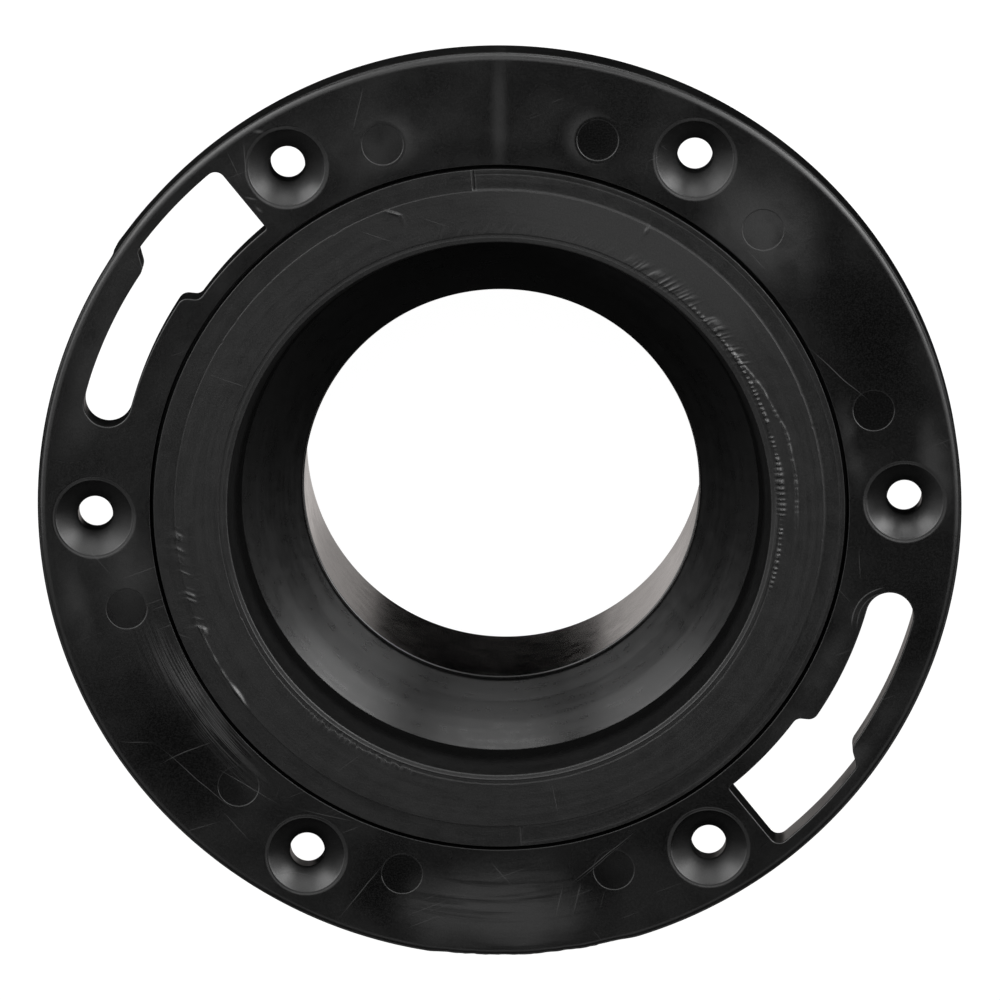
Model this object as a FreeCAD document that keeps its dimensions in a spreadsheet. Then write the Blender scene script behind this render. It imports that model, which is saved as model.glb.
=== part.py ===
import FreeCAD, Part
import math
import os
import re

import Sketcher

# A 4 x 3 closet flange: a hub that joins the drain, and a floor ring that turns freely round it.
# The origin is the centre of the ring's underside, so the XY plane is the finished floor. +Z points up
# out of the drain, and one screw hole lies on +X. Every size is in millimetres and every angle in degrees.

SIZES = {
    # Swivel ring
    "ring_outer_r": 88.9,
    "ring_thick": 9.5,
    "rim_round": 1.55,
    "rim_bottom_edge": 0.3,
    "rebate_r": 67.2,
    "rebate_edge": 0.4,
    "ledge_top": 5.0,
    "ledge_r": 57.8,
    "ledge_edge": 0.6,
    "snap_recess_r": 60.5,
    "snap_recess_deep": 2.4,
    # Floor screws
    "screw_circle_r": 78.0,
    "screw_count": 6,
    "screw_hole_d": 6.72,
    "sink_d": 14.7,
    "sink_angle": 82,
    # Closet bolt slots: a wide mouth for the bolt's head, then a narrow neck for its shank
    "slot_count": 2,
    "slot_circle_r": 78.0,
    "shank_half": 4.55,
    "head_half": 7.55,
    "mouth_start": 127.7,
    "mouth_end": 143.4,
    "neck_end": 163.35,
    "head_channel": 2.7,
    "step_round": 1.4,
    "outer_corner_round": 2.0,
    "inner_corner_round": 0.5,
    # Ejector pin marks in the ring's face: four angles, and the same again half a turn on
    "pin_mark_r": 4.0,
    "pin_mark_circle_r": 74.5,
    "pin_mark_deep": 0.12,
    "pin_mark_first": 14,
    "pin_mark_second": 46,
    "pin_mark_third": 74,
    "pin_mark_fourth": 106,
    # Hub flange, standing a little proud of the ring
    "flange_r": 66.5,
    "flange_top": 10.3,
    "flange_bottom": 5.3,
    "flange_edge": 0.35,
    "rim_band_r": 62.4,
    "rim_band_drop": 0.3,
    "lip_band_r": 54.0,
    "lip_band_drop": 0.35,
    "lip_r": 52.3,
    "lip_round": 0.7,
    # Hub bowl, throat and drain
    "bowl_r": 50.1,
    "bowl_z": -2.2,
    "throat_r": 38.5,
    "throat_z": -14.7,
    "throat_round": 1.3,
    "outlet_r": 39.5,
    "neck_r": 57.15,
    "neck_round": 0.4,
    "neck_end_z": -3.4,
    "spigot_r": 44.45,
    "spigot_top_z": -17.2,
    "spigot_end_z": -56.7,
    "spigot_edge": 1.2,
    # Snap lugs that hold the ring under the flange, inside its snap recess
    "lug_count": 8,
    "lug_width": 16,
    "lug_r": 58.8,
    "lug_top": 1.8,
    "lug_flat": 0.6,
    "lug_bottom": -0.6,
    "lug_root": 2.0,
}

CUT_PAST = 1.0      # how far a cutting profile runs past the faces that it opens

doc = FreeCAD.newDocument("ClosetFlange")
sheet = doc.addObject("Spreadsheet::Sheet", "Sizes")


def fill_sheet():
    for row, (alias, number) in enumerate(SIZES.items(), start=1):
        sheet.set(f"A{row}", alias)
        sheet.set(f"B{row}", str(number))
        sheet.setAlias(f"B{row}", alias)
    doc.recompute()


def bound(formula):
    """The formula as an expression on the sheet: every word in it is an alias."""
    return re.sub(r"[a-z]\w*", lambda word: f"Sizes.{word.group()}", formula)


def value(formula):
    """The formula's number at the sheet's present sizes."""
    number = doc.Sizes.evalExpression(bound(formula))
    return float(getattr(number, "Value", number))


def bind(feature, **formulas):
    for name, formula in formulas.items():
        feature.setExpression(name, bound(formula))


def origin_feature(body, role):
    return next(f for f in body.Origin.OriginFeatures if f.Role == role)


def new_body(name, label):
    body = doc.addObject("PartDesign::Body", name)
    body.Label = label
    return body


def new_sketch(body, name, role, lift="0", turn="0"):
    """A sketch on an origin plane of its body, lifted along Z and turned about Z by two formulas."""
    sketch = body.newObject("Sketcher::SketchObject", name)
    sketch.AttachmentSupport = (origin_feature(body, role), [""])
    sketch.MapMode = "FlatFace"
    own_axis = {"XY_Plane": "z", "XZ_Plane": "y"}[role]
    upright = FreeCAD.Vector(0, own_axis == "y", own_axis == "z")
    sketch.AttachmentOffset = FreeCAD.Placement(
        upright * value(lift), FreeCAD.Rotation(upright, value(turn)))
    sketch.setExpression(f"AttachmentOffset.Base.{own_axis}", bound(lift))
    sketch.setExpression("AttachmentOffset.Rotation.Angle", bound(turn))
    return sketch


def pin_point(sketch, geometry, point, across, along):
    """Ties a point of the sketch's geometry to two formulas, its distances from the sketch's origin."""
    for kind, formula in (("DistanceX", across), ("DistanceY", along)):
        number = value(formula)
        index = sketch.addConstraint(Sketcher.Constraint(kind, -1, 1, geometry, point, number))
        sketch.setExpression(f"Constraints[{index}]", bound(formula))


def draw_profile(sketch, corners):
    """A closed outline of straight edges through corners given as (radius, height) formulas."""
    points = [FreeCAD.Vector(value(radius), value(height), 0) for radius, height in corners]
    count = len(points)
    for i in range(count):
        sketch.addGeometry(Part.LineSegment(points[i], points[(i + 1) % count]))
    for i in range(count):
        sketch.addConstraint(Sketcher.Constraint("Coincident", i, 2, (i + 1) % count, 1))
    for i, (radius, height) in enumerate(corners):
        pin_point(sketch, i, 1, radius, height)


def draw_circle(sketch, across, along, radius):
    centre = FreeCAD.Vector(value(across), value(along), 0)
    index = sketch.addGeometry(Part.Circle(centre, FreeCAD.Vector(0, 0, 1), value(radius)))
    pin_point(sketch, index, 3, across, along)
    constraint = sketch.addConstraint(Sketcher.Constraint("Radius", index, value(radius)))
    sketch.setExpression(f"Constraints[{constraint}]", bound(radius))


def turned(body, kind, name, corners, start="0", sweep="360"):
    """A Revolution or Groove of a profile about Z, from one angle through another."""
    sketch = new_sketch(body, f"{name}Profile", "XZ_Plane", turn=start)
    draw_profile(sketch, corners)
    feature = body.newObject(f"PartDesign::{kind}", name)
    feature.Profile = sketch
    feature.ReferenceAxis = (sketch, ["V_Axis"])
    bind(feature, Angle=sweep)
    doc.recompute()
    return feature


def pocketed(body, name, lift, depth, circle_r, radius, turn):
    """A round Pocket that goes down from a height, with its centre on a circle about Z at an angle."""
    sketch = new_sketch(body, f"{name}Outline", "XY_Plane", lift=lift, turn=turn)
    draw_circle(sketch, circle_r, "0", radius)
    pocket = body.newObject("PartDesign::Pocket", name)
    pocket.Profile = sketch
    pocket.Type = "Length"
    bind(pocket, Length=depth)
    doc.recompute()
    return pocket


def repeated(body, name, features, count):
    """Copies features evenly round Z, and makes the pattern the body's tip."""
    pattern = body.newObject("PartDesign::PolarPattern", name)
    pattern.Originals = features
    pattern.Axis = (origin_feature(body, "Z_Axis"), [""])
    pattern.Angle = 360
    bind(pattern, Occurrences=count)
    body.Tip = pattern
    doc.recompute()
    return pattern


def ring_edges(feature, radius, height):
    """Names of a feature's round edges about Z with this radius at this height."""
    names = []
    for i, edge in enumerate(feature.Shape.Edges, start=1):
        curve = edge.Curve
        if not isinstance(curve, Part.Circle):
            continue
        centre = curve.Center
        on_axis = math.hypot(centre.x, centre.y) < 0.01
        if on_axis and abs(curve.Radius - value(radius)) < 0.01 and abs(centre.z - value(height)) < 0.01:
            names.append(f"Edge{i}")
    return names


def upright_edges(feature, places):
    """Names of a feature's straight edges along Z that stand at one of these (x, y) places."""
    names = []
    for i, edge in enumerate(feature.Shape.Edges, start=1):
        if not isinstance(edge.Curve, Part.Line) or abs(edge.tangentAt(edge.FirstParameter).z) < 0.99:
            continue
        foot = edge.Vertexes[0].Point
        if any(math.hypot(foot.x - x, foot.y - y) < 0.05 for x, y in places):
            names.append(f"Edge{i}")
    return names


def dressed(body, kind, name, base, edges, size):
    """A Fillet or Chamfer of named edges, as the body's tip."""
    if not edges:
        raise ValueError(f"{name} finds no edge")
    feature = body.newObject(f"PartDesign::{kind}", name)
    feature.Base = (base, edges)
    bind(feature, **{"Radius" if kind == "Fillet" else "Size": size})
    body.Tip = feature
    doc.recompute()
    return feature


def polar_place(radius, angle):
    return radius * math.cos(math.radians(angle)), radius * math.sin(math.radians(angle))


def slot_corners(corners):
    """Places of slot corners, given as (radius formula, angle formula), in every one of the slots."""
    step = 360 / value("slot_count")
    turns = [step * i for i in range(int(value("slot_count")))]
    return [polar_place(value(radius), value(angle) + turn) for radius, angle in corners for turn in turns]


def make_ring():
    body = new_body("SwivelRing", "swivel_ring")
    blank = turned(body, "Revolution", "RingBlank", [
        ("snap_recess_r", "0"),
        ("ring_outer_r", "0"),
        ("ring_outer_r", "ring_thick"),
        ("rebate_r", "ring_thick"),
        ("rebate_r", "ledge_top"),
        ("ledge_r", "ledge_top"),
        ("ledge_r", "snap_recess_deep"),
        ("snap_recess_r", "snap_recess_deep"),
    ])
    rim = dressed(body, "Fillet", "RimRound", blank,
                  ring_edges(blank, "ring_outer_r", "ring_thick"), "rim_round")
    foot = dressed(body, "Chamfer", "RimBottomEdge", rim,
                   ring_edges(rim, "ring_outer_r", "0"), "rim_bottom_edge")
    mouth = dressed(body, "Chamfer", "RebateEdge", foot,
                    ring_edges(foot, "rebate_r", "ring_thick"), "rebate_edge")
    ledge_edges = (ring_edges(mouth, "ledge_r", "ledge_top")
                   + ring_edges(mouth, "ledge_r", "snap_recess_deep"))
    dressed(body, "Chamfer", "LedgeEdges", mouth, ledge_edges, "ledge_edge")

    add_screw_holes(body)
    slots = add_bolt_slots(body)
    steps = slot_corners([
        (f"slot_circle_r {side} {half}", "mouth_end")
        for side in "+-" for half in ("shank_half", "head_half")])
    stepped = dressed(body, "Fillet", "SlotSteps", slots, upright_edges(slots, steps), "step_round")
    outer = slot_corners([("slot_circle_r + head_half", "mouth_start")])
    rounded = dressed(body, "Fillet", "SlotOuterCorner", stepped,
                      upright_edges(stepped, outer), "outer_corner_round")
    inner = slot_corners([("slot_circle_r - head_half", "mouth_start")])
    dressed(body, "Fillet", "SlotInnerCorner", rounded,
            upright_edges(rounded, inner), "inner_corner_round")
    add_pin_marks(body)
    return body


def add_screw_holes(body):
    sketch = new_sketch(body, "ScrewCentre", "XY_Plane", lift="ring_thick")
    draw_circle(sketch, "screw_circle_r", "0", "screw_hole_d / 2")
    doc.recompute()
    hole = body.newObject("PartDesign::Hole", "ScrewHole")
    hole.Profile = sketch
    doc.recompute()
    hole.DepthType = "ThroughAll"
    hole.HoleCutType = "Countersink"
    hole.HoleCutCustomValues = True
    bind(hole, Diameter="screw_hole_d", HoleCutDiameter="sink_d", HoleCutCountersinkAngle="sink_angle")
    doc.recompute()
    repeated(body, "ScrewHoles", [hole], "screw_count")


def slot_section(half, bottom, top):
    """The section of a slot about its circle, as corners of a turned profile."""
    inner = f"slot_circle_r - {half}"
    outer = f"slot_circle_r + {half}"
    return [(inner, bottom), (outer, bottom), (outer, top), (inner, top)]


def add_bolt_slots(body):
    above = f"ring_thick + {CUT_PAST}"
    below = f"0 - {CUT_PAST}"
    mouth = turned(body, "Groove", "HeadMouth", slot_section("head_half", below, above),
                   start="mouth_start", sweep="mouth_end - mouth_start")
    neck = turned(body, "Groove", "ShankNeck", slot_section("shank_half", below, above),
                  start="mouth_end", sweep="neck_end - mouth_end")
    channel = turned(body, "Groove", "HeadChannel", slot_section("head_half", below, "head_channel"),
                     start="mouth_end", sweep="neck_end - mouth_end")
    neck_round = pocketed(body, "ShankNeckEnd", "ring_thick", "ring_thick",
                          "slot_circle_r", "shank_half", turn="neck_end")
    channel_round = pocketed(body, "HeadChannelEnd", "head_channel", "head_channel",
                             "slot_circle_r", "head_half", turn="neck_end")
    return repeated(body, "BoltSlots", [mouth, neck, channel, neck_round, channel_round], "slot_count")


def add_pin_marks(body):
    marks = [
        pocketed(body, f"PinMark{place.title()}", "ring_thick", "pin_mark_deep",
                 "pin_mark_circle_r", "pin_mark_r", turn=f"pin_mark_{place}")
        for place in ("first", "second", "third", "fourth")]
    repeated(body, "PinMarks", marks, "slot_count")


def make_hub():
    body = new_body("HubBody", "hub_body")
    blank = turned(body, "Revolution", "HubBlank", [
        ("outlet_r", "spigot_end_z"),
        ("spigot_r", "spigot_end_z"),
        ("spigot_r", "spigot_top_z"),
        ("neck_r", "neck_end_z"),
        ("neck_r", "flange_bottom"),
        ("flange_r", "flange_bottom"),
        ("flange_r", "flange_top - rim_band_drop"),
        ("rim_band_r", "flange_top - rim_band_drop"),
        ("rim_band_r", "flange_top"),
        ("lip_band_r", "flange_top"),
        ("lip_band_r", "flange_top - lip_band_drop"),
        ("lip_r", "flange_top - lip_band_drop"),
        ("bowl_r", "bowl_z"),
        ("throat_r", "throat_z"),
    ])
    lip = dressed(body, "Fillet", "LipRound", blank,
                  ring_edges(blank, "lip_r", "flange_top - lip_band_drop"), "lip_round")
    throat = dressed(body, "Fillet", "ThroatRound", lip,
                     ring_edges(lip, "throat_r", "throat_z"), "throat_round")
    flange_edges = (ring_edges(throat, "flange_r", "flange_bottom")
                    + ring_edges(throat, "flange_r", "flange_top - rim_band_drop"))
    flange = dressed(body, "Fillet", "FlangeEdges", throat, flange_edges, "flange_edge")
    neck = dressed(body, "Fillet", "NeckRoot", flange,
                   ring_edges(flange, "neck_r", "flange_bottom"), "neck_round")
    dressed(body, "Chamfer", "SpigotEdge", neck,
            ring_edges(neck, "spigot_r", "spigot_end_z"), "spigot_edge")

    lug = turned(body, "Revolution", "SnapLug", [
        ("neck_r - lug_root", "lug_top"),
        ("lug_r", "lug_top"),
        ("lug_r", "lug_top - lug_flat"),
        ("neck_r", "lug_bottom"),
        ("neck_r - lug_root", "lug_bottom"),
    ], start="0 - lug_width / 2", sweep="lug_width")
    repeated(body, "SnapLugs", [lug], "lug_count")
    return body


def check_document(bodies):
    for item in doc.Objects:
        if "Invalid" in item.State or "Error" in item.State:
            raise RuntimeError(f"{item.Name} failed: {item.State}")
    for body in bodies:
        if body.Shape.isNull() or not body.Shape.isValid() or len(body.Shape.Solids) != 1:
            raise RuntimeError(f"{body.Label} isn't one valid solid")


def export(bodies):
    os.makedirs("parts", exist_ok=True)
    for body in bodies:
        body.Shape.exportStep(f"parts/{body.Label}.step")
        print(f"{body.Label}: {body.Shape.Volume / 1000:.2f} cm3, {len(body.Shape.Faces)} faces")


fill_sheet()
parts = [make_ring(), make_hub()]
doc.recompute()
check_document(parts)
export(parts)
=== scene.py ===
import math

import bmesh
import bpy
import numpy as np
from mathutils import Matrix, Vector, geometry


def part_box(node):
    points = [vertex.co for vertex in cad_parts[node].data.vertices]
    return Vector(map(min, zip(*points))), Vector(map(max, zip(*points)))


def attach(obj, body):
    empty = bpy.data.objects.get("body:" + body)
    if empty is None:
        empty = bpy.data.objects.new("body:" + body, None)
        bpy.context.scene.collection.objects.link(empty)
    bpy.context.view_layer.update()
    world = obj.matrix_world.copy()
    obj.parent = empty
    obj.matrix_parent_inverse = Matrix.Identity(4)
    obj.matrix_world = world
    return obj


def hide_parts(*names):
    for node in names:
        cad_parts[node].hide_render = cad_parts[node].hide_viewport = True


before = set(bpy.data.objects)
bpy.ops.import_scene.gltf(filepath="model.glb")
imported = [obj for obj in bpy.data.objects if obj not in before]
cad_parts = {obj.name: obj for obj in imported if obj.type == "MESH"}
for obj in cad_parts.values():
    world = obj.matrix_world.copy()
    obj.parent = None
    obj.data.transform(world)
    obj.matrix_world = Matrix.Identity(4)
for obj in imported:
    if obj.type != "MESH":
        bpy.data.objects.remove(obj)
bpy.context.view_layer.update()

# A toilet flange seen from above its drain. Shapes are worked out in millimetres in the frame of the packed
# part and stored in metres. Angles are in degrees, anticlockwise from +X.

MM = 0.001
TURN = 2 * math.pi
FINE = 2400         # points round the hub where its edges carry small moulding faults
ROUND = 480         # points round every other turned surface
LEAD = 0.12         # width of the flat strip that keeps a face flat beside a rounded edge
ROUND_STEPS = 4     # faces across a rounded edge
EDGE_SHARE = 0.46   # how much of an edge the round at one end of it may take up

ring_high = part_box("swivel_ring")[1] / MM
hub_low, hub_high = (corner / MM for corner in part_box("hub_body"))

RING_R = ring_high.x
RING_TOP = ring_high.z
HUB_TOP = hub_high.z
SPIGOT_END = hub_low.z


# Curves ---------------------------------------------------------------------------------------------------

def arc(start, corner, end, count):
    """Points of the round that leaves start and reaches end along the two edges that meet at corner."""
    start, corner, end = (np.array(point, float) for point in (start, corner, end))
    one, two = corner - start, end - corner
    cosine = one @ two / (np.linalg.norm(one) * np.linalg.norm(two))
    weight = math.sqrt((1 + min(1.0, cosine)) / 2)
    points = []
    for t in np.linspace(0, 1, count + 1):
        shares = ((1 - t) ** 2, 2 * t * (1 - t) * weight, t ** 2)
        total = shares[0] * start + shares[1] * corner + shares[2] * end
        points.append(tuple(total / sum(shares)))
    return points


def profile(corners):
    """The closed section through (radius, height, round) corners, with a lead strip beside every round."""
    points = []
    count = len(corners)
    for i, (r, z, round_r) in enumerate(corners):
        if round_r == 0:
            points.append((r, z))
            continue
        here = np.array((r, z))
        before = np.array(corners[i - 1][:2]) - here
        after = np.array(corners[(i + 1) % count][:2]) - here
        back, ahead = np.linalg.norm(before), np.linalg.norm(after)
        cosine = np.clip(before @ after / (back * ahead), -1, 1)
        reach = round_r / math.tan(math.acos(cosine) / 2)
        reach = min(reach, EDGE_SHARE * back, EDGE_SHARE * ahead)
        before, after = before / back, after / ahead
        if 0.5 * back > reach + LEAD:
            points.append(tuple(here + before * (reach + LEAD)))
        points += arc(here + before * reach, here, here + after * reach, ROUND_STEPS)
        if 0.5 * ahead > reach + LEAD:
            points.append(tuple(here + after * (reach + LEAD)))
    return points


def ripple(angle, cells, seed):
    """Smooth random values from -1 to 1 round a turn, with this many cells to the turn, from a fixed seed."""
    values = np.random.default_rng(seed).uniform(-1, 1, cells)
    place = (angle / 360 % 1) * cells
    cell = np.floor(place).astype(int) % cells
    t = place % 1
    t = t * t * (3 - 2 * t)
    return values[cell] * (1 - t) + values[(cell + 1) % cells] * t


def window(angle, start, end, soft):
    """1 between two angles, 0 outside them, with soft ends this wide."""
    middle, half = (start + end) / 2, (end - start) / 2
    off = np.abs((angle - middle + 180) % 360 - 180)
    return np.clip((half - off) / soft + 0.5, 0, 1)


def bump(distance, width):
    """A smooth hill of height 1 at distance 0."""
    return np.exp(-(np.asarray(distance) / width) ** 2)


# Surfaces -------------------------------------------------------------------------------------------------

class Skin:
    """A surface gathered as points in millimetres and the faces between them."""

    def __init__(self):
        self.points = []
        self.faces = []

    def loop(self, points):
        first = len(self.points)
        self.points.extend(tuple(float(x) for x in point) for point in points)
        return list(range(first, len(self.points)))

    def band(self, one, two):
        """Faces between two loops. One loop may have a whole number of times the other's points."""
        if len(one) < len(two):
            one, two = two, one
        times = len(one) // len(two)
        for i in range(len(two)):
            fan = [one[(i * times + k) % len(one)] for k in range(times + 1)]
            near, far = two[i], two[(i + 1) % len(two)]
            if times == 1:
                self.faces.append((fan[0], fan[1], far, near))
                continue
            self.faces += [(fan[k], fan[k + 1], near) for k in range(times)]
            self.faces.append((fan[-1], far, near))

    def bands(self, loops):
        for one, two in zip(loops, loops[1:]):
            self.band(one, two)

    def cap(self, loops):
        """Flat faces between loops at one height: inside the first and outside the others."""
        ids = [i for loop in loops for i in loop]
        flat = np.array([self.points[i][:2] for i in ids])
        edges, first = [], 0
        for loop in loops:
            edges += [(first + i, first + (i + 1) % len(loop)) for i in range(len(loop))]
            first += len(loop)
        made = geometry.delaunay_2d_cdt([Vector(p) for p in flat], edges, [], 0, 1e-9)
        triangles = np.array(made[2])
        kept = inside(flat[triangles].mean(axis=1), flat[np.array(edges)])
        self.faces += [tuple(ids[i] for i in triangle) for triangle in triangles[kept]]

    def piece(self, name, body, node, material):
        mesh = bpy.data.meshes.new(name)
        mesh.from_pydata([Vector(p) * MM for p in self.points], [], self.faces)
        work = bmesh.new()
        work.from_mesh(mesh)
        bmesh.ops.recalc_face_normals(work, faces=work.faces)
        for face in work.faces:
            face.smooth = True
        work.to_mesh(mesh)
        work.free()
        mesh.materials.append(material)
        made = bpy.data.objects.new(name, mesh)
        bpy.context.scene.collection.objects.link(made)
        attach(made, body)
        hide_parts(node)


def inside(places, edges):
    """Which places lie inside a set of closed outlines, by counting the edges to one side of each."""
    x0, y0 = edges[:, 0, 0], edges[:, 0, 1]
    x1, y1 = edges[:, 1, 0], edges[:, 1, 1]
    found = []
    for x, y in places:
        crossed = (y0 > y) != (y1 > y)
        at = x0[crossed] + (y - y0[crossed]) * (x1[crossed] - x0[crossed]) / (y1[crossed] - y0[crossed])
        found.append(np.count_nonzero(at > x) % 2 == 1)
    return np.array(found)


def turned(skin, section, count, bend=None):
    """Loops about Z, one for each (radius, height) of a section. bend may move them by the angle."""
    angle = np.arange(count) * 360 / count
    across, along = np.cos(np.radians(angle)), np.sin(np.radians(angle))
    loops = []
    for r, z in section:
        radius, height = bend(r, z, angle) if bend else (r, z)
        height = np.broadcast_to(height, angle.shape)
        loops.append(skin.loop(zip(radius * across, radius * along, height)))
    return loops


def hole_loops(skin, outline, section):
    """Loops along an outline, each set back into the solid and at a height as a section says."""
    ahead = np.roll(outline, -1, axis=0) - np.roll(outline, 1, axis=0)
    ahead /= np.linalg.norm(ahead, axis=1)[:, None]
    out = np.stack((ahead[:, 1], -ahead[:, 0]), axis=1)
    return [skin.loop(np.column_stack((outline + out * back, np.full(len(outline), z))))
            for back, z in section]


def circle(radius, place, count):
    """A round outline about a place given as (radius, angle) from the middle of the part."""
    angle = np.arange(count) * TURN / count
    x, y = polar(*place)
    return np.stack((x + radius * np.cos(angle), y + radius * np.sin(angle)), axis=1)


def polar(radius, angle):
    """The x and y of a radius and an angle."""
    return radius * np.cos(np.radians(angle)), radius * np.sin(np.radians(angle))


# Swivel ring ----------------------------------------------------------------------------------------------

SCREW_CIRCLE = 78.0
SCREWS = 6
SCREW_R = 3.36
SINK_R = 7.35
SINK_SLOPE = math.tan(math.radians(41))
PIN_CIRCLE = 74.5
PIN_R = 4.0
PIN_ANGLES = (14, 46, 74, 106, 194, 226, 254, 286)
PIN_DEPTH = 0.08        # how far the ejector pin marks are sunk
SLOT_INNER, SLOT_OUTER = 70.5, 85.57
SLOT_START, SLOT_END = 127.71, 163.35       # the mouth's end and the middle of the neck's round end
NECK_INNER, NECK_OUTER = 73.45, 82.53
MOUTH_ROUNDS = (2.0, 0.5)
CHANNEL_TOP = 2.7
CHANNEL_STEP = 0.18     # how far the bolt head channel's wall stands back from the slot's
CHANNEL_LEAD = 0.13     # how many degrees sooner the channel starts
CHANNEL_ROUNDS = (2.0, 0.6)
SINK_GROOVE = 0.07      # depth of the fine groove round each countersink
RIM_ROUND = 1.55
FOOT_ROUND = 0.35
SEAT_R, SEAT_Z = 67.2, 5.0      # the rebate that the hub's flange drops into
LEDGE_R, LEDGE_Z = 57.8, 2.4    # the ledge under the hub's flange
SNAP_R = 60.5                   # the recess that the hub's lugs turn in
GATE = (261, 285)               # the angles that the trimmed gate lies between
GATE_DEPTH = 0.35
THIN = (145, 164)               # where the rim is thinner below, beside a slot
THIN_DEPTH = 0.3
SLIVER = (130, 145.4)           # a sliver of flash on the rim, which grows along it and breaks off
SLIVER_Z = 1.2
SLIVER_REACH = 0.22


def slot_outline(inner, outer, start, end, steps, corner):
    """A slot's outline: a mouth with two corners, steps down to a neck if any, and a round far end.
    steps are (angle, radius, round) corners on the outer side and then on the inner side."""
    outer_steps, inner_steps = steps
    neck_outer = outer_steps[-1][1] if outer_steps else outer
    neck_inner = inner_steps[0][1] if inner_steps else inner
    corners = [(start, outer, corner[0]), *outer_steps]
    half = (neck_outer - neck_inner) / 2
    middle = np.array(polar(neck_inner + half, end))
    for turn in np.linspace(0, 180, 33):
        x, y = middle + polar(half, end + turn)
        past_end = (math.degrees(math.atan2(y, x)) - end + 180) % 360 - 180
        corners.append((end + past_end, math.hypot(x, y), 0))
    corners += [*inner_steps, (start, inner, corner[1])]
    return follow(corners)


def follow(corners, spacing=0.5):
    """A closed outline through (angle, radius, round) corners, whose edges run evenly in angle and radius."""
    count = len(corners)

    def edge(i, t):
        (a0, r0, _), (a1, r1, _) = corners[i % count], corners[(i + 1) % count]
        return np.array(polar(r0 + (r1 - r0) * t, a0 + (a1 - a0) * t))

    lengths = [np.linalg.norm(edge(i, 1) - edge(i, 0)) for i in range(count)]
    points = []
    for i in range(count):
        round_r, next_round = corners[i][2], corners[(i + 1) % count][2]
        begin = round_r / lengths[i]
        finish = 1 - next_round / lengths[i]
        if round_r:
            before = 1 - round_r / lengths[i - 1]
            points += arc(edge(i - 1, before), edge(i, 0), edge(i, begin), 8)
        else:
            points.append(tuple(edge(i, 0)))
        inner = max(1, round((finish - begin) * lengths[i] / spacing))
        points += [tuple(edge(i, begin + (finish - begin) * k / inner)) for k in range(1, inner)]
    return np.array(points)


def bolt_slot(turn):
    """The outlines of a slot's skin and of the wider bolt head channel under it."""
    start, end = SLOT_START + turn, SLOT_END + turn
    outer_steps = ((142.5 + turn, SLOT_OUTER, 0.7), (144.2 + turn, NECK_OUTER, 1.2))
    inner_steps = ((144.5 + turn, NECK_INNER, 1.2), (143.2 + turn, SLOT_INNER, 1.0))
    skin_outline = slot_outline(SLOT_INNER, SLOT_OUTER, start, end, (outer_steps, inner_steps), MOUTH_ROUNDS)
    channel = slot_outline(SLOT_INNER - CHANNEL_STEP, SLOT_OUTER + CHANNEL_STEP,
                           SLOT_START - CHANNEL_LEAD + turn, end, ((), ()), CHANNEL_ROUNDS)
    return skin_outline, channel


def rim_bend(r, z, angle):
    """The ring's rim with its trimmed gate and the sliver of flash beside a slot."""
    outer = np.clip((r - 86.5) / 2.4, 0, 1)
    low = np.clip((RING_TOP - 2 - z) / 3, 0, 1)
    gate = window(angle, *GATE, 2) * (GATE_DEPTH + 0.1 * ripple(angle, 240, 3) + 0.06 * ripple(angle, 700, 4))
    thin = THIN_DEPTH * low * window(angle, *THIN, 2)
    grown = np.clip((angle - SLIVER[0] - 2) / 13, 0, 1)
    sliver = window(angle, *SLIVER, 0.5) * bump(z - SLIVER_Z, 0.5) * grown
    sliver = sliver * (SLIVER_REACH + 0.06 * ripple(angle, 300, 17))
    return r + outer * (sliver - gate - thin), z


def screw_section():
    """A countersunk screw hole, as (distance back from the countersink's edge, height)."""
    reach = SCREW_R - SINK_R
    sink_end = RING_TOP + reach / SINK_SLOPE
    return [
        (0.9, RING_TOP), (0.5, RING_TOP), (0.42, RING_TOP - SINK_GROOVE), (0.12, RING_TOP - SINK_GROOVE),
        (0.0, RING_TOP - 0.12), (-0.12, RING_TOP - 0.24), (-0.3, RING_TOP - 0.3 / SINK_SLOPE),
        (reach + 0.35, sink_end + 0.35 / SINK_SLOPE), (reach + 0.1, sink_end + 0.12),
        (reach, sink_end - 0.15), (reach, sink_end - 0.4), (reach, 0.4), (reach, 0.22),
        (reach + 0.06, 0.07), (reach + 0.2, 0.0), (reach + 0.4, 0.0),
    ]


def cut_screws(skin):
    """The screw holes. Gives back their loops at the top and at the bottom."""
    top, under = [], []
    for k in range(SCREWS):
        outline = circle(SINK_R, (SCREW_CIRCLE, k * 360 / SCREWS), 96)
        loops = hole_loops(skin, outline, screw_section())
        skin.bands(loops)
        top.append(loops[0])
        under.append(loops[-1])
    return top, under


def cut_slots(skin):
    """The two bolt slots with their channels. Gives back their loops at the top and at the bottom."""
    top, under = [], []
    for turn in (0, 180):
        outline, channel = bolt_slot(turn)
        upper = hole_loops(skin, outline, [
            (0.34, RING_TOP), *arc((0.26, RING_TOP), (0, RING_TOP), (0, RING_TOP - 0.26), 3),
            (0, RING_TOP - 0.4), (0, CHANNEL_TOP + 0.1), (0, CHANNEL_TOP)])
        lower = hole_loops(skin, channel, [
            (0, CHANNEL_TOP), (0, CHANNEL_TOP - 0.1), (0, 0.3), (0, 0.2), (0.06, 0.06), (0.2, 0), (0.3, 0)])
        skin.bands(upper)
        skin.bands(lower)
        skin.cap([lower[0], upper[-1]])
        top.append(upper[0])
        under.append(lower[-1])
    return top, under


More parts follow.
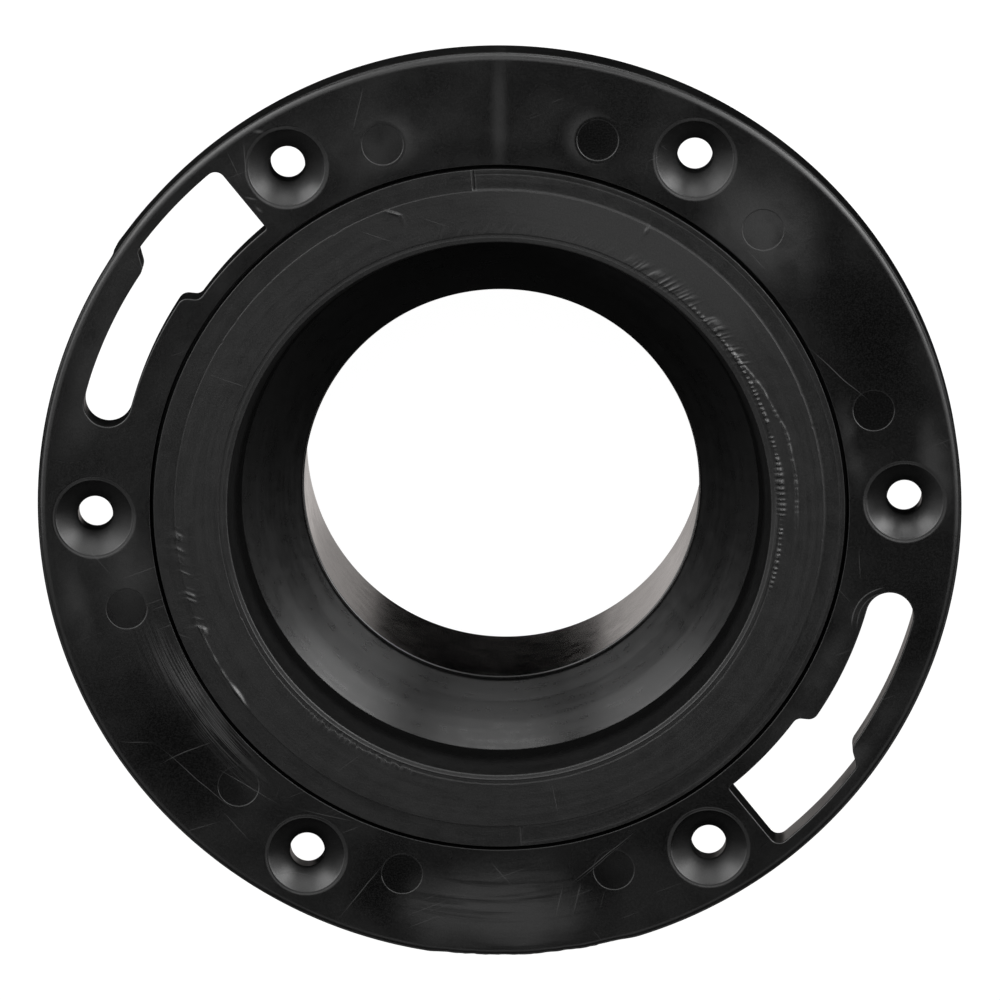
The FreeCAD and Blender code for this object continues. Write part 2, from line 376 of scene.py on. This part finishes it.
def sink_pins(skin):
    """The shallow ejector pin marks. Gives back their loops at the top."""
    top = []
    for angle in PIN_ANGLES:
        loops = hole_loops(skin, circle(PIN_R, (PIN_CIRCLE, angle), 72), [
            (0.16, RING_TOP), (0.06, RING_TOP), (0.0, RING_TOP - 0.02), (-0.05, RING_TOP - 0.06),
            (-0.12, RING_TOP - PIN_DEPTH), (-0.22, RING_TOP - PIN_DEPTH)])
        skin.bands(loops)
        skin.cap([loops[-1]])
        top.append(loops[0])
    return top


def make_ring(material):
    skin = Skin()
    wall = turned(skin, [
        (RING_R - RIM_ROUND - LEAD, RING_TOP),
        *arc((RING_R - RIM_ROUND, RING_TOP), (RING_R, RING_TOP), (RING_R, RING_TOP - RIM_ROUND), 8),
        *((RING_R, z) for z in (RING_TOP - 1.8, 4.5, 2.4, 2.0, 1.6, 1.2, 0.9, 0.5)),
        *arc((RING_R, FOOT_ROUND), (RING_R, 0), (RING_R - FOOT_ROUND, 0), 3), (RING_R - 0.5, 0),
    ], 2 * ROUND, rim_bend)
    seat = turned(skin, profile([
        (68.0, RING_TOP, 0), (SEAT_R, RING_TOP, 0.22), (SEAT_R, SEAT_Z, 0.3), (LEDGE_R, SEAT_Z, 0.6),
        (LEDGE_R, LEDGE_Z, 0.6), (SNAP_R, LEDGE_Z, 0.3), (SNAP_R, 0, 0.25), (61.0, 0, 0),
    ]), ROUND)
    skin.bands(wall)
    skin.bands(seat)
    screws, slots, pins = cut_screws(skin), cut_slots(skin), sink_pins(skin)
    skin.cap([wall[0], seat[0], *screws[0], *slots[0], *pins])
    skin.cap([wall[-1], seat[-1], *screws[1], *slots[1]])
    skin.piece("swivel_ring_moulding", "ring", "swivel_ring", material)


# Hub ------------------------------------------------------------------------------------------------------

FLANGE_R = 66.5
FLANGE_Z = 5.3          # the flange's underside
BAND_R = 62.4           # outside the raised face, where the low band begins
BAND_DROP = 0.3
LIP_BAND_R = 54.0       # inside the raised face, where the lip begins
LIP_BAND_DROP = 0.35
LIP_R = 52.3
BOWL_EDGE = (51.4, 5.0, 0)
BOWL = (                # radius, height, round
    (50.1, -2.2, 0.3), (45.5, -7.0, 60), (42.2, -10.6, 30), (38.75, -14.25, 1.1),
)
DRAIN = (
    (38.75, -16.1, 0.05), (38.5, -16.25, 0.08), (39.5, SPIGOT_END, 0.3), (41.8, SPIGOT_END, 0),
)
NECK_R = 57.15
SPIGOT = (
    (NECK_R, -0.8, 0), (NECK_R, -3.4, 0.4), (44.45, -17.2, 0.4), (44.45, SPIGOT_END + 1.2, 0.15),
    (43.25, SPIGOT_END, 0.15),
)
LUG_R = 58.8
LUGS = 8
LUG_WIDTH = 16
LOW_HALF = (-87.5, 92.75)       # the half of the band that lies lower, between the mould's parting marks
LOW_HALF_DROP = 0.07
DOUBLE_LINE_R = 65.6
BLOBS = (               # angle, half length in degrees, radius, half width, height, slant in degrees per mm
    (214.2, 1.7, 62.1, 0.4, 0.45, 0),
    (201.5, 0.9, 61.8, 0.6, 0.35, 0),
    (61.4, 0.3, 61.6, 0.8, 0.3, 0),
    (107.76, 0.35, 61.3, 0.8, 0.4, 1.2),
)
BEADS = 330             # beads of flash in a full turn, of which a part is there
BEAD_LINE = 54.3
SECOND_LINE = 54.7
FLASH_MOST = 0.5        # the highest that flash stands above the face


def band_marks(r, angle):
    """The low band: one half lower, with a double line on it, and the mould's two parting marks."""
    if r <= BAND_R + 0.1:
        return 0.0
    low_half = window(angle, *LOW_HALF, 0.35) * (LOW_HALF_DROP + 0.05 * bump(r - DOUBLE_LINE_R, 0.16))
    return -low_half - 0.6 * bump(angle - 92.95, 0.17) - 0.08 * bump(angle - 272.5, 0.2)


def torn_edge(r, angle):
    """Rags of torn plastic, a thin ridge and blobs along the edge of the raised face."""
    fibres = ripple(angle + 0.7 * (r - BAND_R), 620, 7) + 0.5 * ripple(angle + 0.3 * r, 240, 18)
    torn = window(angle, 183, 202, 4) * bump(r - 61.8 - 0.3 * ripple(angle, 120, 19), 0.8)
    ridge = window(angle, 200, 217, 2) * bump(r - 62.25, 0.22) * (0.2 + 0.1 * ripple(angle, 240, 22))
    blobs = sum(tall * bump(angle - at - slant * (r - middle), length) * bump(r - middle, width)
                for at, length, middle, width, tall, slant in BLOBS)
    return 0.36 * torn * np.clip(fibres, 0, 1) + ridge + blobs


def flash(r, angle):
    """Beads of flash beside the lip, a second line that leaves them, and flakes."""
    beads = np.sin(np.radians(angle) * BEADS + 4 * ripple(angle, 110, 23)) + 0.15 + 1.1 * ripple(angle, 260, 9)
    beads = np.clip(beads, 0, 1) * (0.75 + 0.25 * ripple(angle, 130, 24))
    off = r - BEAD_LINE - 0.12 * ripple(angle, 80, 10)
    width = 0.27 + 0.3 * window(angle, -3, 8, 3)
    first = 0.5 * beads * window(angle, -17, 48, 5) * bump(off / width, 1)
    leaving = np.clip((31 - (angle + 180) % 360 + 180) / 18, 0, 1)
    off = r - SECOND_LINE - 2.6 * leaving - 0.15 * ripple(angle, 120, 11)
    string = 0.6 + 0.4 * ripple(angle, 700, 12)
    second = 0.3 * string * window(angle, -4, 34, 3) * bump(off, 0.22)
    patch = (window(angle, 28, 60, 12) + 0.12 * window(angle, 60, 102, 6)) * bump(r - 54.9, 1.1)
    flakes = ripple(angle + 0.5 * (r - 54), 860, 20) + 0.7 * ripple(angle + 0.9 * r, 300, 21) + 0.2
    return np.minimum(first + second + 0.3 * patch * np.clip(flakes, 0, 1.2), FLASH_MOST)


def crinkled(r, angle):
    """Where the lip's step is crinkled."""
    return window(angle, 226, 252, 5) * bump(r - LIP_BAND_R, 0.6)


def lip_rise(r, angle):
    """Crinkles and a fine ridge on the lip."""
    ridge = bump(r - 53.2, 0.12) * (0.3 + 0.7 * window(angle, 195, 362, 10))
    return 0.12 * crinkled(r, angle) * ripple(angle, 800, 14) + 0.12 * ridge


def edge_shift(r, angle):
    """How far the raised face's two edges wander, with nicks in them."""
    outer_nicks = 0.9 * np.clip(ripple(angle, 230, 5) - 0.8, 0, 1)
    outer = bump(r - BAND_R, 0.45) * (0.02 * ripple(angle, 420, 6) - outer_nicks)
    inner_nicks = 0.5 * np.clip(ripple(angle, 150, 16) - 0.8, 0, 1)
    inner = bump(r - LIP_BAND_R, 0.3) * (0.035 * ripple(angle, 300, 15) + inner_nicks)
    return outer + inner + 0.22 * crinkled(r, angle) * ripple(angle, 520, 13)


def face_bend(r, z, angle):
    """The hub's face with what moulding and handling left on it."""
    if z < HUB_TOP - 1.5:
        return np.full_like(angle, r), np.full_like(angle, z)
    rise = band_marks(r, angle) + torn_edge(r, angle) + flash(r, angle) + lip_rise(r, angle)
    return r + edge_shift(r, angle), z + rise


def lug_bend(r, z, angle):
    """The neck's wall with a snap lug in each of its sectors."""
    lug = sum(window(angle, k * 360 / LUGS - LUG_WIDTH / 2, k * 360 / LUGS + LUG_WIDTH / 2, 1.0)
              for k in range(LUGS))
    return NECK_R + (r - NECK_R) * lug, z


def face_section():
    """The hub's face from the bowl's edge out to under its flange, with extra points where marks lie."""
    lip, band = HUB_TOP - LIP_BAND_DROP, HUB_TOP - BAND_DROP
    return profile([
        BOWL_EDGE, (LIP_R, lip - 0.06, 0.4), *((r, lip, 0) for r in (53.0, 53.08, 53.15, 53.2, 53.26, 53.34)),
        (LIP_BAND_R, lip, 0.08), (LIP_BAND_R, HUB_TOP, 0.1),
        *((r, HUB_TOP, 0) for r in np.arange(54.3, 58.2, 0.2)),
        *((r, HUB_TOP, 0) for r in np.arange(60.4, 62.2, 0.2)),
        (BAND_R, HUB_TOP, 0.09), (BAND_R, band, 0.06), (63.0, band, 0),
        *((r, band, 0) for r in (65.2, 65.4, 65.5, 65.6, 65.7, 65.8, 66.0)),
        (FLANGE_R, band, 0.12), (FLANGE_R, FLANGE_Z, 0.35), (64.0, FLANGE_Z, 0),
    ])


def make_hub(material):
    skin = Skin()
    face = turned(skin, face_section(), FINE, face_bend)
    inner = turned(skin, profile([BOWL_EDGE, *BOWL, *DRAIN])[1:], ROUND)
    outer = turned(skin, profile([
        (64.0, FLANGE_Z, 0), (NECK_R, FLANGE_Z, 0.4), (NECK_R, 2.2, 0), (NECK_R, 1.85, 0)])[1:], ROUND)
    lugs = turned(skin, [(LUG_R, 1.8), (LUG_R, 1.2), (NECK_R + 0.01, -0.6)], ROUND, lug_bend)
    spigot = turned(skin, profile([*SPIGOT, DRAIN[-1]])[:-1], ROUND)
    skin.bands(face)
    skin.bands([face[0], *inner])
    skin.bands([face[-1], *outer, *lugs, *spigot, inner[-1]])
    skin.piece("hub_moulding", "hub", "hub_body", material)


# Materials ------------------------------------------------------------------------------------------------

class Shading:
    """A material's nodes. Every method adds some and gives back the socket with their result."""

    def __init__(self, name):
        self.material = bpy.data.materials.new(name)
        self.material.use_nodes = True
        self.tree = self.material.node_tree
        self.shader = self.tree.nodes["Principled BSDF"]
        coordinates = self.node("TexCoord", {}, out="Object")
        self.place = self.node("VectorMath", {0: coordinates, 3: 1 / MM}, operation="SCALE")
        self.x, self.y, self.z = self.split(self.place)
        self.radius = self.math("SQRT", self.math("ADD", self.squared(self.x), self.squared(self.y)))

    def node(self, kind, inputs, out=0, **settings):
        made = self.tree.nodes.new(f"ShaderNode{kind}")
        for name, value in settings.items():
            setattr(made, name, value)
        for name, value in inputs.items():
            if isinstance(value, bpy.types.NodeSocket):
                self.tree.links.new(value, made.inputs[name])
            else:
                made.inputs[name].default_value = value
        return made.outputs[out]

    def math(self, operation, *values):
        return self.node("Math", dict(enumerate(values)), operation=operation)

    def squared(self, value):
        return self.math("MULTIPLY", value, value)

    def split(self, vector):
        made = self.node("SeparateXYZ", {0: vector}).node
        return made.outputs[:]

    def joined(self, x, y, z):
        return self.node("CombineXYZ", {0: x, 1: y, 2: z})

    def noise(self, place, scale, detail=2.0, roughness=0.5, distortion=0.0):
        return self.node("TexNoise", {"Vector": place, "Scale": scale, "Detail": detail,
                                      "Roughness": roughness, "Distortion": distortion})

    def between(self, value, low, high, start=0.0, end=1.0):
        """The value taken smoothly from one range to another, and held at its ends."""
        return self.node("MapRange", {0: value, 1: low, 2: high, 3: start, 4: end},
                         interpolation_type="SMOOTHSTEP")

    def total(self, values):
        result = values[0]
        for value in values[1:]:
            result = self.math("ADD", result, value)
        return result

    def weighted(self, base, *shares):
        """The sum of a base and of (value, weight) shares."""
        return self.math("ADD", self.total([self.math("MULTIPLY", *share) for share in shares]), base)

    def wavy(self, place, scale, reach):
        """The place moved about by noise, so that what is drawn there has uneven edges."""
        moved = self.node("TexNoise", {"Vector": place, "Scale": scale, "Detail": 2.0}, out="Color")
        moved = self.node("VectorMath", {0: moved, 1: (0.5, 0.5, 0.5)}, operation="SUBTRACT")
        moved = self.node("VectorMath", {0: moved, 3: 2 * reach}, operation="SCALE")
        return self.node("VectorMath", {0: place, 1: moved}, operation="ADD")

    def round_about(self, across, along):
        """Coordinates for marks that run round the axis: across per millimetre, along per turn."""
        x = self.math("MULTIPLY", self.math("DIVIDE", self.x, self.radius), along)
        y = self.math("MULTIPLY", self.math("DIVIDE", self.y, self.radius), along)
        return self.joined(x, y, self.math("MULTIPLY", self.radius, across))

    def spot(self, place, radius, angle, heading, length, width, strength, soft=1.0):
        """A patch at a radius and angle. A heading of 0 lies along the radius, and 90 round the axis."""
        local = self.node("Mapping", {
            "Vector": place, "Location": (*polar(radius, angle), RING_TOP),
            "Rotation": (0, 0, math.radians(angle + heading)), "Scale": (length / 2, width / 2, 1000),
        }, vector_type="TEXTURE")
        away = self.node("VectorMath", {0: local}, out="Value", operation="LENGTH")
        return self.between(away, 1.0, 1.0 - soft, 0.0, strength)

    def curve(self, place, radius, angle, reach, width, strength):
        """A thin line on a circle about the point at a radius and angle."""
        local = self.node("Mapping", {"Vector": place, "Location": (*polar(radius, angle), RING_TOP),
                                      "Scale": (1, 1, 1000)}, vector_type="TEXTURE")
        away = self.node("VectorMath", {0: local}, out="Value", operation="LENGTH")
        off = self.math("ABSOLUTE", self.math("SUBTRACT", away, reach))
        return self.between(off, width, 0.3 * width, 0.0, strength)

    def scratches(self, heading, low, seed):
        """Long thin scratches that lie at one heading, where noise is above low."""
        turned_place = self.node("Mapping", {
            "Vector": self.place, "Location": (seed, 2.3 * seed, 0), "Rotation": (0, 0, math.radians(heading)),
            "Scale": (20, 0.45, 3)}, vector_type="TEXTURE")
        lines = self.between(self.noise(turned_place, 1.0, 1.0), low, low + 0.06)
        patches = self.between(self.noise(self.place, 0.07, 1.0), 0.5, 0.62)
        return self.math("MULTIPLY", lines, patches)

    def finish(self, tone, roughness, height):
        """Sets the shader from a tone of grey, a roughness, and heights in millimetres."""
        self.shader.inputs["IOR"].default_value = ABS_IOR
        self.tree.links.new(self.joined(tone, tone, tone), self.shader.inputs["Base Color"])
        self.tree.links.new(roughness, self.shader.inputs["Roughness"])
        raised = self.node("Bump", {"Strength": 1.0, "Distance": MM, "Height": height})
        self.tree.links.new(raised, self.shader.inputs["Normal"])
        return self.material


ABS_IOR = 1.53
RING_ROUGHNESS = 0.255
LEAST_ROUGHNESS = 0.12
RING_TONE = 0.0022
HUB_ROUGHNESS = 0.38
HUB_TONE = 0.002
RING_SHEEN = (      # radius, angle, heading, length, width, strength
    (75, 46, 90, 34, 26, 1.1),
    (78, 58, 90, 20, 18, 0.5),
    (75, 104, 90, 44, 18, 0.45),
    (82, 120, 90, 30, 12, 0.35),
    (82, 158, 90, 56, 12, 0.45),
    (73, 186, 90, 36, 18, 0.5),
    (84, 192, 90, 24, 9, 0.5),
    (69, 212, 90, 26, 8, 0.5),
    (70, 330, 90, 44, 9, 0.5),
    (84, 322, 90, 40, 7, 0.5),
    (80, 300, 90, 18, 16, 0.4),
    (84, 4, 90, 26, 9, 0.7),
    (69, 10, 90, 22, 6, 0.6),
)
RING_WELD = (77, 88.6, 0, 36, 4.6, 0.5)     # single rows are laid out alike
RING_GATE = (79, 268, 90, 50, 24, 1.3)
RING_GLOSS = (      # rows as in RING_SHEEN
    (79, 24, 90, 44, 26, 1.0),
    (79, 216, 90, 44, 22, 1.0),
    (79, 252, 90, 18, 24, 0.9),
    (74, 76, 90, 24, 14, 0.7),
    (70, 88, 90, 40, 8, 0.6),
    (72, 300, 90, 30, 12, 0.7),
    (84, 344, 90, 26, 10, 0.6),
    (79, 282, 90, 14, 22, 0.8),
)
RING_SCRATCHES = (  # rows as in RING_SHEEN
    (70.4, 20.8, 117, 20, 0.26, 1.0),
    (77.5, 217, -12, 15, 0.2, 0.8),
    (84, 212, -40, 9, 0.2, 0.6),
    (71.8, 285, 114, 21, 0.24, 0.9),
    (72.6, 284.4, 115, 17, 0.2, 0.5),
    (80, 249, -20, 17, 0.22, 0.8),
    (83, 240, -70, 12, 0.2, 0.7),
    (69.5, 240, -75, 14, 0.22, 0.7),
    (79.2, 221, 98, 26, 0.22, 0.9),
    (73.2, 227, 100, 19, 0.2, 0.8),
    (70.2, 350, -80, 9, 0.2, 0.5),
    (85.5, 226, -30, 10, 0.2, 0.6),
    (83.4, 124.2, -34, 10, 0.3, 0.6),
    (84.3, 125.8, -12, 8, 0.22, 0.5),
    (77.2, 126.6, 40, 3.4, 0.6, 0.8),
    (74.4, 126.7, 10, 2.6, 0.8, 0.7),
    (86.4, 120.6, 60, 3, 1.0, 0.8),
)
RING_CURVES = (     # centre's radius and angle, reach from it, width, strength
    (78, -17.8, 7.0, 0.13, 0.9),
    (78, -17.8, 6.05, 0.1, 0.6),
)
RING_CURVES_AT = (72.3, -15.5, 90, 12, 9, 1.0, 0.4)
PIN_HALOS = ((74, 1.2, 0.9), (106, -1.2, 0.45))      # pin's angle, how far the halo is turned off it, strength
HALO_WIDTH = 13
PIN_COVER = 9.4     # width of the part of a halo that its pin covers
PIN_GLOSS = (0.9, 0.5, 0.3, 0.2, 0.8, 0.2, 0.8, 0.4)    # for each of PIN_ANGLES
RING_SWIRLS = (69.5, 213, 90, 50, 13, 1.0)
RING_FINE = ((20, 0.72, 3.1), (75, 0.74, 7.7), (130, 0.73, 12.9))       # heading, how few, seed
HUB_FINE = ((35, 0.75, 5.3), (100, 0.76, 9.1), (160, 0.76, 1.7))
HUB_RUBBED = (60, 62, 90, 100, 40, 1.0)


def pin_halos(s):
    """Dull crescents beside ejector pin marks."""
    halos = []
    for angle, shift, strength in PIN_HALOS:
        glow = s.spot(s.place, PIN_CIRCLE, angle + shift, 0, HALO_WIDTH, HALO_WIDTH, strength, 0.7)
        within = s.spot(s.place, PIN_CIRCLE, angle, 0, PIN_COVER, PIN_COVER, strength, 0.12)
        halos.append(s.math("MAXIMUM", s.math("SUBTRACT", glow, within), 0.0))
    return halos


def ring_dullness(s, uneven):
    """Where the melt ran and met and left the ring's face dull."""
    patches = s.total([s.spot(uneven, *row) for row in RING_SHEEN])
    patches = s.math("MULTIPLY", patches, s.between(s.noise(s.place, 0.16, 3.0), 0.25, 0.6, 0.45, 1.0))
    runs = s.between(s.noise(s.round_about(0.55, 2.4), 1.0, 3.0, 0.6, 0.5), 0.36, 0.58, 0.3, 1.0)
    gate = s.math("MULTIPLY", s.spot(uneven, *RING_GATE), runs)
    return s.total([s.total([patches, gate, s.spot(s.place, *RING_WELD)]), *pin_halos(s)])


def ring_wear(s, uneven):
    """Scratches from handling, and swirls where the ring was rubbed."""
    bent = s.wavy(s.place, 0.05, 1.2)
    curves = s.math("MULTIPLY", s.total([s.curve(bent, *row) for row in RING_CURVES]),
                    s.spot(s.place, *RING_CURVES_AT))
    marks = s.total([curves, *(s.spot(bent, *row) for row in RING_SCRATCHES)])
    fine = s.total([s.scratches(*row) for row in RING_FINE])
    swirls = s.math("MULTIPLY", s.between(s.noise(s.round_about(4.6, 3.6), 1.0, 2.0, 0.6), 0.47, 0.62),
                    s.spot(uneven, *RING_SWIRLS))
    return s.math("ADD", marks, s.math("ADD", s.math("MULTIPLY", fine, 0.4), s.math("MULTIPLY", swirls, 0.9)))


def ring_plastic():
    """Glossy black ABS, with duller patches where the melt ran and met, and scratches from handling."""
    s = Shading("ring_plastic")
    uneven = s.wavy(s.place, 0.09, 3.0)
    dull, worn = ring_dullness(s, uneven), ring_wear(s, uneven)
    glossy = s.total([s.spot(uneven, *row) for row in RING_GLOSS])
    pins = s.total([s.spot(s.place, PIN_CIRCLE, angle, 0, 2 * PIN_R, 2 * PIN_R, strength, 0.06)
                    for angle, strength in zip(PIN_ANGLES, PIN_GLOSS)])
    sunk = s.math("MULTIPLY", s.between(s.z, RING_TOP - 0.15, RING_TOP - 0.4), s.between(s.radius, 86.6, 86.2))
    clouds = s.between(s.noise(s.place, 0.07, 2.0), 0.35, 0.7)
    roughness = s.weighted(RING_ROUGHNESS, (dull, 0.32), (sunk, 0.05), (clouds, 0.08), (glossy, -0.12),
                           (worn, 0.25), (pins, -0.09))
    roughness = s.math("MAXIMUM", roughness, LEAST_ROUGHNESS)
    speckle = s.between(s.noise(s.place, 3.4, 2.0), 0.35, 0.7)
    tone = s.weighted(RING_TONE, (worn, 0.03), (dull, 0.006), (speckle, 0.005))
    flow = s.math("MULTIPLY", s.noise(s.wavy(s.place, 0.04, 9.0), 0.22, 2.0), 0.05)
    grain = s.math("MULTIPLY", s.noise(s.place, 2.6, 3.0, 0.6), 0.012)
    height = s.total([flow, grain, s.math("MULTIPLY", worn, 0.02)])
    return s.finish(tone, roughness, height)


def hub_plastic():
    """The same ABS with a satin face. The bowl shows faint rings, and the drain's wall is polished."""
    s = Shading("hub_plastic")
    bore = s.math("MULTIPLY", s.between(s.z, -16.0, -16.4), s.between(s.radius, 41.5, 40.5))
    bowl = s.math("MULTIPLY", s.between(s.radius, 51.5, 50.5), s.between(s.z, 6.0, 5.0))
    steep = s.math("MULTIPLY", bowl, s.between(s.radius, 50.0, 50.2))
    smooth = s.math("MAXIMUM", bore, bowl)
    raised = s.between(s.z, HUB_TOP + 0.03, HUB_TOP + 0.14)
    on_band = s.math("MULTIPLY", s.between(s.radius, BAND_R, BAND_R + 0.2), s.between(s.z, 5.0, 6.0))
    rubbed = s.math("MULTIPLY", s.spot(s.wavy(s.place, 0.09, 3.0), *HUB_RUBBED),
                    s.between(s.radius, BAND_R + 0.2, BAND_R))
    rings = s.noise(s.round_about(1.2, 3.0), 1.0, 2.0)
    mottle = s.noise(s.place, 0.35, 4.0, 0.6)
    fine = s.math("MULTIPLY", s.total([s.scratches(*row) for row in HUB_FINE]), s.between(s.z, 6.0, 7.0))
    roughness = s.weighted(HUB_ROUGHNESS, (s.between(mottle, 0.3, 0.7), 0.05),
                           (s.between(rings, 0.3, 0.7), 0.05), (bowl, -0.13), (bore, -0.16), (raised, -0.2),
                           (fine, 0.08), (rubbed, 0.24), (on_band, -0.05), (steep, -0.08))
    speckle = s.between(s.noise(s.place, 3.4, 2.0), 0.35, 0.7)
    # The flash and blobs that stand above the face get a lighter tone, which is a painted highlight; their
    # lower roughness above is their real gloss.
    tone = s.weighted(HUB_TONE, (speckle, s.between(smooth, 0.0, 1.0, 0.007, 0.0015)), (fine, 0.01),
                      (raised, 0.012))
    grain = s.math("MULTIPLY", s.noise(s.place, 2.2, 3.0, 0.6), s.between(smooth, 0.0, 1.0, 0.02, 0.001))
    turning = s.math("MULTIPLY", s.math("MULTIPLY", rings, bowl), 0.009)
    height = s.total([grain, turning, s.math("MULTIPLY", fine, 0.015)])
    return s.finish(tone, roughness, height)


# Studio ---------------------------------------------------------------------------------------------------

CAMERA_AWAY = 1800
CAMERA_TILT = 11.65     # from straight above, towards +Y
CAMERA_YAW = -1.09
CAMERA_ROLL = 1.15
CAMERA_SLIDE = (0.194, 2.081)   # right and up, in millimetres
LENS = 337.2
FLOOR_GAP = 0.2         # how far the floor lies under the spigot's end
FLOOR_R = 3             # in metres
FLOOR_TONE = 0.1
FLOOR_GLOW = 0.98


def add_camera():
    """The camera looks almost straight down the drain, from a little on the +Y side."""
    tilt, yaw = math.radians(CAMERA_TILT), math.radians(CAMERA_YAW)
    right = Vector((math.cos(yaw), math.sin(tilt) * math.sin(yaw), math.cos(tilt) * math.sin(yaw)))
    up = Vector((0, math.cos(tilt), -math.sin(tilt)))
    back = right.cross(up)
    turn = Matrix.Rotation(math.radians(-CAMERA_ROLL), 3, "Z")
    place = turn @ (back * CAMERA_AWAY + right * CAMERA_SLIDE[0] + up * CAMERA_SLIDE[1])
    place.z += HUB_TOP
    data = bpy.data.cameras.new("camera")
    data.lens = LENS
    data.sensor_width = 36
    data.clip_start, data.clip_end = 0.05, 20
    camera = bpy.data.objects.new("camera", data)
    bpy.context.scene.collection.objects.link(camera)
    axes = turn @ Matrix((right, up, back)).transposed()
    camera.matrix_world = Matrix.Translation(place * MM) @ axes.to_4x4()
    bpy.context.scene.camera = camera


def softbox(name, azimuth, elevation, away, size, power):
    """An area light on a sphere about the part, at an azimuth from +X, facing the part."""
    data = bpy.data.lights.new(name, "AREA")
    data.shape = "RECTANGLE"
    data.size, data.size_y = size
    data.energy = power
    light = bpy.data.objects.new(name, data)
    bpy.context.scene.collection.objects.link(light)
    flat = math.cos(math.radians(elevation))
    place = Vector((*polar(flat, azimuth), math.sin(math.radians(elevation))))
    light.location = place * away
    light.rotation_euler = (-place).to_track_quat("-Z", "Y").to_euler()
    light.visible_camera = False
    return light


SOFTBOXES = (       # name, azimuth, elevation, width, height, brightness
    ("key_right", 28, 28, 0.6, 0.55, 5.0),
    ("key_right_near", 58, 28, 0.5, 0.5, 2.2),
    ("key_right_top", 45, 50, 0.55, 0.55, 2.4),
    ("key_low_right", 41, 12, 0.64, 0.3, 5.8),
    ("key_low_middle", 88, 12, 0.7, 0.3, 3.5),
    ("key_low_left", 135, 12, 0.68, 0.3, 4.4),
    ("key_middle", 90, 28, 0.55, 0.55, 0.9),
    ("key_left_near", 120, 28, 0.5, 0.55, 2.9),
    ("key_left", 150, 28, 0.6, 0.55, 3.8),
    ("key_left_top", 135, 50, 0.55, 0.55, 1.7),
    ("side_right", 0, 28, 0.55, 0.55, 2.0),
    ("side_right_top", 0, 50, 0.55, 0.55, 1.2),
    ("side_left", 180, 28, 0.55, 0.55, 1.7),
    ("side_left_top", 180, 50, 0.55, 0.55, 0.5),
    ("over", 90, 50, 0.55, 0.55, 0.9),
    ("top", 90, 68, 0.6, 0.5, 1.15),
    ("top_left", 180, 66, 0.55, 0.5, 0.7),
    ("top_front", 270, 50, 0.6, 0.3, 0.5),
    ("front_right", 315, 45, 0.6, 0.7, 0.45),
    ("front_left", 225, 40, 0.6, 0.8, 0.4),
    ("front", 270, 45, 0.6, 0.6, 0.3),
    ("ground_right", 28, -15, 1.1, 0.32, 1.5),
    ("ground_middle", 90, -15, 1.1, 0.32, 2.6),
    ("ground_left", 152, -15, 1.1, 0.32, 1.5),
    ("ground_front_left", 212, -15, 1.1, 0.4, 0.5),
    ("ground_front", 270, -15, 1.1, 0.4, 0.45),
    ("ground_front_right", 328, -15, 1.1, 0.4, 0.5),
)
SOFTBOX_AWAY = 1.2
UNDER_DOWN = 0.35   # the glow from below, as on a glass table, which the drain's polished wall mirrors
UNDER_BOXES = (     # name, x, y, width, depth, brightness
    ("under_left", -0.045, -0.082, 0.09, 0.136, 0.62),
    ("under_right", 0.045, -0.086, 0.09, 0.128, 0.42),
)
WARM = (1.0, 0.94, 0.91)


def add_lights():
    for name, azimuth, elevation, width, height, brightness in SOFTBOXES:
        power = brightness * math.pi * width * height
        softbox(name, azimuth, elevation, SOFTBOX_AWAY, (width, height), power)
    for name, x, y, width, depth, brightness in UNDER_BOXES:
        light = softbox(name, 0, 0, 0, (width, depth), brightness * math.pi * width * depth)
        light.location = (x, y, -UNDER_DOWN)
        light.rotation_euler = (math.pi, 0, 0)
        light.data.color = WARM


def add_world():
    """A white surround that only the camera sees, so that the softboxes alone light the part."""
    world = bpy.data.worlds.new("surround")
    bpy.context.scene.world = world
    world.use_nodes = True
    world.node_tree.nodes["Background"].inputs["Color"].default_value = (1, 1, 1, 1)
    for rays in ("diffuse", "glossy", "transmission", "scatter"):
        setattr(world.cycles_visibility, rays, False)


def add_floor():
    """A pale floor that the spigot's end stands on. From below it can be seen through."""
    bpy.ops.mesh.primitive_circle_add(vertices=96, radius=FLOOR_R, fill_type="NGON",
                                      location=(0, 0, (SPIGOT_END - FLOOR_GAP) * MM))
    floor = bpy.context.object
    floor.name = "floor"
    material = bpy.data.materials.new("floor_white")
    material.use_nodes = True
    shader = material.node_tree.nodes["Principled BSDF"]
    shader.inputs["Base Color"].default_value = (FLOOR_TONE, FLOOR_TONE, FLOOR_TONE, 1)
    shader.inputs["Emission Color"].default_value = (1, 1, 1, 1)
    shader.inputs["Emission Strength"].default_value = FLOOR_GLOW
    nodes, links = material.node_tree.nodes, material.node_tree.links
    clear, mixed, geometry_node = (nodes.new(f"ShaderNode{kind}") for kind in (
        "BsdfTransparent", "MixShader", "NewGeometry"))
    links.new(geometry_node.outputs["Backfacing"], mixed.inputs[0])
    links.new(shader.outputs[0], mixed.inputs[1])
    links.new(clear.outputs[0], mixed.inputs[2])
    links.new(mixed.outputs[0], nodes["Material Output"].inputs["Surface"])
    floor.data.materials.append(material)
    floor.visible_diffuse = floor.visible_glossy = floor.visible_shadow = False


make_ring(ring_plastic())
make_hub(hub_plastic())
add_camera()
add_lights()
add_world()
add_floor()
bpy.context.scene.view_settings.view_transform = "Standard"
